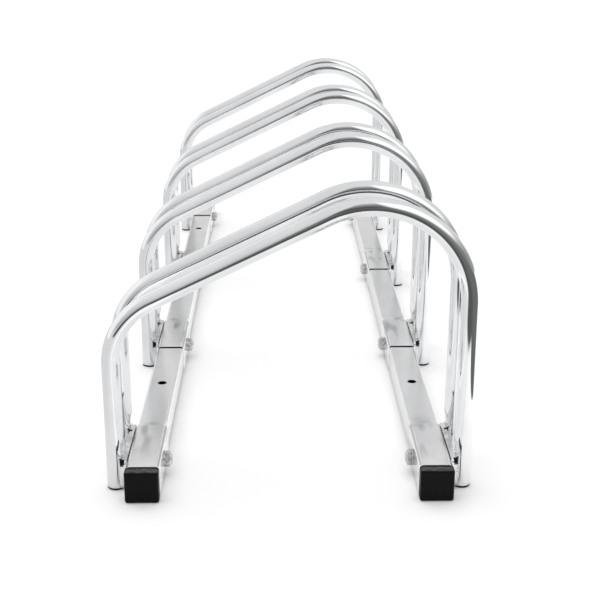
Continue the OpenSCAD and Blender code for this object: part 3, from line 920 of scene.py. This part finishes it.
class RACK_OT_plates(RackOperator, bpy.types.Operator):
    """Draws the welded plates with their rippled weld beads"""

    bl_idname = "rack.plates"
    bl_label = "Plates"

    def execute(self, context):
        sizes, hoops = context.scene.rack_plates, context.scene.rack_hoops
        material, group = plate_zinc(context.scene.rack_finish), weld_group()
        axis = (PLATE_LOW.z + PLATE_HIGH.z) / 2
        pins = bolt_pins(context, sizes, axis)
        flat_half = math.sqrt(hoops.tube_radius ** 2 - (hoops.tube_radius - hoops.flat_depth) ** 2)
        for node in PLATES:
            side = 1.0 if middle(node).x > 0 else -1.0
            plate = self.plate(sizes, node, side, axis).make(context, "steel_" + node)
            drill(context, plate, [pins[int(node.split("_")[1]) - 1]])
            shade(context, plate, material)
            beads = grow(context, "beads_" + node, group, {
                "Side": side, "Plane": PLATE_LOW.x + sizes.thickness,
                "Place": middle(node).y - HOOP_SPACING / 2, "Spacing": HOOP_SPACING,
                "Offset": flat_half + sizes.weld / 2, "Low": PLATE_LOW.z + sizes.weld,
                "High": PLATE_HIGH.z - sizes.weld / 2, "Radius": sizes.weld,
                "Ripples": sizes.ripples, "Material": material})
            smooth_sides(beads.data)
            join(plate, beads)
            settle(plate, "plate_zinc", node)
        discard(pins)
        return {"FINISHED"}

    def plate(self, sizes, node, side, axis):
        """Plate with rounded corners, bevelled towards the rail and rounded on its outer edge."""
        low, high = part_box(node)
        half_width, half_height = (high.y - low.y) / 2, (high.z - low.z) / 2
        inner, edge = PLATE_LOW.x, sizes.bevel
        outer = inner + sizes.thickness
        turns = [math.pi / 6 * step for step in range(1, 4)]
        stations = [(inner, edge), (inner + edge, 0.0), (outer - edge, 0.0)]
        stations += [(outer - edge * (1 - math.sin(turn)), edge * (1 - math.cos(turn))) for turn in turns]
        y = middle(node).y
        return Skin().loft([
            along_x(rounded(half_width - cut, half_height - cut, sizes.corner - cut), side * x, y, axis)
            for x, cut in stations])


class RACK_OT_fasteners(RackOperator, bpy.types.Operator):
    """Draws the bolts, washers and lock nuts"""

    bl_idname = "rack.fasteners"
    bl_label = "Fasteners"

    def execute(self, context):
        sizes, rails = context.scene.rack_plates, context.scene.rack_rails
        material, group = fastener_zinc(context.scene.rack_finish), repeat_group()
        first = bolt_place(sizes, 1)
        places = {"First": first, "Pitch": bolt_place(sizes, 2) - first, "Axis": rails.socket / 2,
                  "Material": material}
        rail_side = PLATE_LOW.x - rails.socket
        nut_side = rail_side - sizes.washer_thickness
        skins = {"bolts": self.bolt(sizes, nut_side), "washers": self.washer(sizes, rail_side),
                 "nuts": self.nut(sizes, nut_side)}
        for node, skin in skins.items():
            one = skin.make(context, "one_of_" + node)
            shade(context, one, material)
            piece = grow(context, "zinc_" + node, group, places, one.data)
            discard([one])
            settle(piece, "fastener_zinc", node)
        return {"FINISHED"}

    def bolt(self, sizes, nut_side):
        """Hexagon head outside the plate, shank, thread and chamfered end."""
        width, radius = sizes.hex_width, sizes.bolt / 2
        corner = width / math.sqrt(3)
        seat = PLATE_LOW.x + sizes.thickness
        top = seat + sizes.head
        tip = nut_side - sizes.nut - sizes.collar - sizes.bolt_end
        # Where each ring is, and the radius at which it cuts the hexagon's corners
        crown = [(top, 0.40 * width), (top, 0.46 * width), (top - 0.0004, 0.505 * width),
                 (top - 0.0009, corner)]
        base = [(seat + 0.0002, corner), (seat, corner - 0.0003)]
        rings = [along_x(hex_ring(width, limit, math.pi / 2), x) for x, limit in crown + base]
        thread_length, first_ridge = 0.016, tip + 0.0010
        shank = [(seat, radius), (tip + 0.018, radius)]
        for turn in range(int(thread_length / sizes.thread), 0, -1):
            ridge = first_ridge + turn * sizes.thread
            shank += [(ridge, radius), (ridge - sizes.thread / 2, radius - sizes.thread / 2)]
        shank += [(tip + 0.0009, radius - 0.0002), (tip, radius - 0.0011)]
        return Skin().loft(rings + [along_x(round_ring(size), x) for x, size in shank])

    def washer(self, sizes, rail_side):
        """Flat ring with slightly rounded edges."""
        outer, inner, thick = sizes.washer / 2, sizes.bolt / 2 + sizes.bolt_play, sizes.washer_thickness
        # Depth from the rail and radius of each ring
        stations = [(0.0, outer - 0.0003), (0.0003, outer), (thick - 0.0004, outer),
                    (thick - 0.0001, outer - 0.00015), (thick, outer - 0.0004), (thick, inner),
                    (0.0, inner)]
        return Skin().loft(
            [along_x(round_ring(radius), rail_side - depth) for depth, radius in stations], joined=True)

    def nut(self, sizes, nut_side):
        """Hexagon nut with chamfered corners and a round locking collar."""
        width, height = sizes.hex_width, sizes.nut + sizes.collar
        corner, collar = width / math.sqrt(3), (width + sizes.bolt) / 4
        bore = sizes.bolt / 2 + sizes.nut_play
        # Depth from the washer, and the radius that cuts the corners or that a round ring has
        hexagon = [(0.0, 0.49 * width), (0.0005, corner), (sizes.nut - 0.0010, corner),
                   (sizes.nut - 0.0004, 0.515 * width), (sizes.nut, 0.47 * width)]
        circles = [(sizes.nut, collar + 0.0002), (height - 0.0003, collar),
                   (height - 0.0001, collar - 0.0002), (height, collar - 0.0005), (height, bore),
                   (0.0, bore)]
        rings = [along_x(hex_ring(width, limit), nut_side - depth) for depth, limit in hexagon]
        rings += [along_x(round_ring(radius), nut_side - depth) for depth, radius in circles]
        return Skin().loft(rings, joined=True)


class RACK_OT_caps(RackOperator, bpy.types.Operator):
    """Draws the rails' end caps with neck, groove and gripping fins"""

    bl_idname = "rack.caps"
    bl_label = "End caps"

    def execute(self, context):
        sizes = context.scene.rack_rails
        material = black_plastic("cap_black_grained", context.scene.rack_finish, roughness=0.36)
        for node in CAPS:
            low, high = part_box(node)
            face, inwards = (low.y, 1) if node.startswith("front") else (high.y, -1)
            x, _, z = middle(node)
            half, inner_corner = (high.z - low.z) / 2, 0.0006
            rings = []
            for depth, cut in self.stations(sizes, high.y - low.y - sizes.cap_plug):
                ring = rounded(half - cut, half - cut, max(sizes.corner - cut, inner_corner))
                rings.append(along_y(ring, face + inwards * depth, x, z))
            piece = Skin().loft(rings).make(context, "black_" + node)
            shade(context, piece, material)
            settle(piece, "cap_black", node)
        return {"FINISHED"}

    def stations(self, sizes, depth):
        """Each ring's place behind the face and cut from the width; head and neck end at the depth."""
        head, edge = depth - sizes.cap_neck, sizes.cap_edge
        turns = [math.pi * step / 12 for step in range(1, 7)]
        stations = [(0.0, edge + 0.0002)]
        stations += [(edge * (1 - math.cos(turn)), edge * (1 - math.sin(turn))) for turn in turns]
        groove, groove_depth, broken = head - 0.0024, 0.0007, 0.0003
        stations += [(groove, 0.0), (groove + 0.0002, groove_depth), (groove + 0.0010, groove_depth),
                     (groove + 0.0012, 0.0), (head - broken, 0.0), (head, broken),
                     (head, sizes.cap_step), (depth, sizes.cap_step)]
        grip = sizes.wall + 0.00015
        core, thick, fins = grip + 0.0020, 0.0012, 4
        for number in range(1, fins + 1):
            fin = depth + number * (sizes.cap_plug - thick) / fins
            valley = depth if number == 1 else stations[-1][0]
            stations += [(valley, core), (fin, core), (fin, grip), (fin + thick, grip)]
        return stations


class RACK_OT_leg_plugs(RackOperator, bpy.types.Operator):
    """Draws the plugs under the hoops' legs"""

    bl_idname = "rack.leg_plugs"
    bl_label = "Leg plugs"

    def execute(self, context):
        hoops = context.scene.rack_hoops
        material = black_plastic("plug_black_grained", context.scene.rack_finish, roughness=0.45)
        for node in LEG_PLUGS:
            low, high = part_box(node)
            skin = Skin()
            for y in (low.y + hoops.tube_radius, high.y - hoops.tube_radius):
                for side in (-1, 1):
                    skin.loft(self.plug(hoops, side, y))
            piece = skin.make(context, "black_" + node)
            shade(context, piece, material)
            settle(piece, "plug_black", node)
        return {"FINISHED"}

    def plug(self, hoops, side, y):
        """Rounded flange under the tube and the stem inside it, flat on the rail side as the leg is."""
        flange, broken, stem, inside = hoops.foot, 0.0003, 0.012, 0.00135
        # Height and cut from the tube's radius of each ring
        stations = [(0.0, 0.0009), (0.0003, 0.0004), (0.0008, 0.0), (flange - broken, 0.0),
                    (flange, broken), (flange, inside), (flange + stem, inside)]
        rings = []
        for z, cut in stations:
            flat = hoops.tube_radius - hoops.flat_depth - cut
            ring = [(side * max(u, -flat), v) for u, v in round_ring(hoops.tube_radius - cut)]
            rings.append(along_z(ring, z, side * hoops.leg_reach, y))
        return rings


def floor_material(stage):
    """White floor that keeps soft shadows; metal sees it bright on the table and dim past it."""
    material = bpy.data.materials.new("pale_floor")
    material.use_nodes = True
    material.node_tree.nodes.clear()
    tree = Tree(material.node_tree)
    path = tree.add("ShaderNodeLightPath").outputs
    x, y, _ = tree.split(tree.coordinates("Object"))

    soft, far_left = 0.03, -0.1
    slant = tree.times(tree.minus(tree.math("MINIMUM", x, far_left), far_left), stage.table_slant)
    step = tree.fade(x, stage.corner_side - soft, stage.corner_side + soft)
    edge = tree.mix(step, tree.plus(slant, stage.table_front), stage.corner_front)
    on_table = tree.fade(tree.minus(y, edge), -soft, soft)
    half_table = 0.35
    table = tree.add("ShaderNodeMapRange", {
        "Value": x, "From Min": -half_table, "From Max": half_table,
        "To Min": stage.table_left, "To Max": stage.table_right}).outputs["Result"]
    left_light = tree.fade(x, -1.6, -0.7, to_low=0.75, to_high=stage.table_dim)
    right_light = tree.fade(x, 0.2, 0.5, to_low=0.0, to_high=0.06)
    far_light = tree.times(tree.fade(y, -5.0, -1.5, to_low=0.2, to_high=0.0), tree.fall(x, -0.3, 0.3))
    past_table = tree.plus(left_light, right_light, far_light)

    # Painted light on the floor beside the left rail's inner side and painted shade beside the right
    # rail's inner side, which only metal sees
    rail, thin, strip_end, strip_fade = RAIL_LOW.x, 0.002, 0.06, 0.10
    left_painted_light = tree.times(tree.fade(x, -rail - thin, -rail),
                            tree.fade(x, -strip_fade, -strip_end, to_low=0.28, to_high=0.0))
    right_painted_shade = tree.times(tree.fade(x, strip_end, strip_fade, to_low=0.0, to_high=-0.10),
                             tree.fall(x, rail, rail + thin))
    painted_strips = tree.plus(1.0, left_painted_light, right_painted_shade)
    back = tree.fade(y, stage.table_back - soft, stage.table_back + soft, to_low=1.0, to_high=0.80)
    bright = tree.times(back, painted_strips, tree.mix(on_table, past_table, table))

    level = tree.mix(path["Is Glossy Ray"], 1.0, bright)
    paint = tree.times(level, 0.88)
    lit = tree.add("ShaderNodeBsdfDiffuse", {"Color": tree.grey(paint)})
    seen = tree.math("MAXIMUM", path["Is Camera Ray"],
                     tree.math("MAXIMUM", path["Is Glossy Ray"], path["Is Transmission Ray"]))
    strength = tree.plus(tree.times(path["Is Camera Ray"], stage.camera_glow),
                         tree.times(seen, stage.floor_glow))
    glow = tree.add("ShaderNodeEmission", {"Color": tree.grey(level), "Strength": strength})
    both = tree.add("ShaderNodeAddShader", {0: lit, 1: glow})
    tree.add("ShaderNodeOutputMaterial", {"Surface": both})
    return material


def studio_world(context, stage):
    """White for the camera; for metal a bright room with a soft box and the dark side of the studio."""
    world = bpy.data.worlds.new("studio")
    context.scene.world = world
    world.use_nodes = True
    world.node_tree.nodes.clear()
    tree = Tree(world.node_tree)
    path = tree.add("ShaderNodeLightPath").outputs
    x, y, z = tree.split(tree.coordinates("Generated"))
    turn = tree.math("ARCTAN2", x, tree.times(y, -1.0))
    rise = tree.math("ARCSINE", z)

    def arc(value, low, high, to_low=0.0, to_high=1.0):
        """Smooth step between two angles in degrees."""
        return tree.fade(value, math.radians(low), math.radians(high), to_low, to_high)

    def wall(room, turns, rises, light):
        """A light or dark part of the room: its four turns and its two or four rises, in degrees.

        It fades in over the first two angles and out over the last two. A wall with two rises
        reaches down past the horizon. Turns count from behind the camera to the right.
        """
        shape = tree.times(arc(turn, *turns[:2]), arc(turn, *turns[2:], 1.0, 0.0),
                           arc(rise, *rises[-2:], 1.0, 0.0))
        if len(rises) == 4:
            shape = tree.times(shape, arc(rise, *rises[:2]))
        return tree.mix(shape, room, light)

    room = tree.times(arc(rise, 5, 50, 0.84, 1.0), stage.dome)
    room = tree.times(room, tree.math("MULTIPLY_ADD", x, 0.06, 0.96))
    # The left wall, the dim front on the left, the soft box, the right wall and the camera's side
    room = wall(room, (-172, -135, -75, -55), (30, 62), 1.10)
    room = wall(room, (-60, -40, 0, 10), (8, 30), arc(rise, -4, 12, 0.22, 0.72))
    room = wall(room, (10, 17, 72, 86), (16, 28, 58, 70), stage.softbox)
    room = wall(room, (60, 80, 112, 128), (10, 30), 0.40)
    room = wall(room, (-13, -6, 8, 14), (42, 60), arc(rise, 10, 45, stage.table_dim, 0.42))
    # The shade below the soft box
    room = wall(room, (4, 12, 66, 84), (8, 24), 0.24)
    seen = tree.mix(path["Is Glossy Ray"], stage.daylight, room)
    level = tree.mix(path["Is Camera Ray"], seen, 1.0)
    background = tree.add("ShaderNodeBackground", {"Color": (1, 1, 1, 1), "Strength": level})
    tree.add("ShaderNodeOutputWorld", {"Surface": background})


def add_camera(context, stage):
    """Camera at the photograph's viewing angle."""
    data = bpy.data.cameras.new("camera")
    data.lens, data.sensor_width = stage.lens, 36.0
    data.clip_start, data.clip_end = 0.05, 100.0
    camera = bpy.data.objects.new("camera", data)
    context.scene.collection.objects.link(camera)
    pitch, yaw, roll = stage.camera_pitch, stage.camera_yaw, stage.camera_roll
    ahead = Vector((math.sin(yaw) * math.cos(pitch), math.cos(yaw) * math.cos(pitch), -math.sin(pitch)))
    right = Vector((math.cos(yaw), -math.sin(yaw), 0))
    down = ahead.cross(right)
    across = right * math.cos(roll) + down * math.sin(roll)
    fall = -right * math.sin(roll) + down * math.cos(roll)
    turned = Matrix((across, -fall, -ahead)).transposed().to_4x4()
    camera.matrix_world = Matrix.Translation(Vector(stage.camera_place)) @ turned
    context.scene.camera = camera


def add_lamp(context, stage):
    """Soft overhead lamp that metal doesn't mirror."""
    data = bpy.data.lights.new("overhead", "SUN")
    data.energy, data.angle = stage.sun, math.radians(70)
    lamp = bpy.data.objects.new("overhead", data)
    lamp.rotation_euler = (math.radians(-12), math.radians(-8), 0)
    lamp.visible_glossy = False
    context.scene.collection.objects.link(lamp)


class RACK_OT_stage(RackOperator, bpy.types.Operator):
    """Sets up the pale floor, the soft studio light and the camera"""

    bl_idname = "rack.stage"
    bl_label = "Stage"

    def execute(self, context):
        stage = context.scene.rack_stage
        reach = stage.floor_reach
        mesh = bpy.data.meshes.new("floor")
        corners = [(-reach, -reach, 0), (reach, -reach, 0), (reach, reach, 0), (-reach, reach, 0)]
        mesh.from_pydata(corners, [], [(0, 1, 2, 3)])
        mesh.materials.append(floor_material(stage))
        floor = bpy.data.objects.new("floor", mesh)
        context.scene.collection.objects.link(floor)
        studio_world(context, stage)
        add_lamp(context, stage)
        add_camera(context, stage)
        context.scene.view_settings.view_transform = "Standard"
        return {"FINISHED"}


OPERATORS = (RACK_OT_stage, RACK_OT_hoops, RACK_OT_rails, RACK_OT_plates, RACK_OT_fasteners, RACK_OT_caps,
             RACK_OT_leg_plugs)


class RACK_PT_pieces(bpy.types.Panel):
    """Buttons for the rack's pieces"""

    bl_idname = "RACK_PT_pieces"
    bl_label = "Floor bike rack"
    bl_space_type = "VIEW_3D"
    bl_region_type = "UI"
    bl_category = "Rack"

    def draw(self, context):
        for operator in OPERATORS:
            self.layout.operator(operator.bl_idname)


SETTINGS = {"rack_hoops": HoopSettings, "rack_rails": RailSettings, "rack_plates": PlateSettings,
            "rack_finish": FinishSettings, "rack_stage": StageSettings}
CLASSES = (*SETTINGS.values(), *OPERATORS, RACK_PT_pieces)


def register():
    for item in CLASSES:
        bpy.utils.register_class(item)
    for name, kind in SETTINGS.items():
        setattr(bpy.types.Scene, name, PointerProperty(type=kind))


def unregister():
    for name in SETTINGS:
        delattr(bpy.types.Scene, name)
    for item in reversed(CLASSES):
        bpy.utils.unregister_class(item)


def main():
    """Builds the whole rack on its stage."""
    bpy.context.view_layer.update()
    register()
    for make_group in (zinc_clouds_group, drawn_lines_group, plastic_grain_group):
        make_group()
    for operator in OPERATORS:
        group, name = operator.bl_idname.split(".")
        getattr(getattr(bpy.ops, group), name)()
    bpy.context.view_layer.update()


if __name__ == "__main__":
    main()
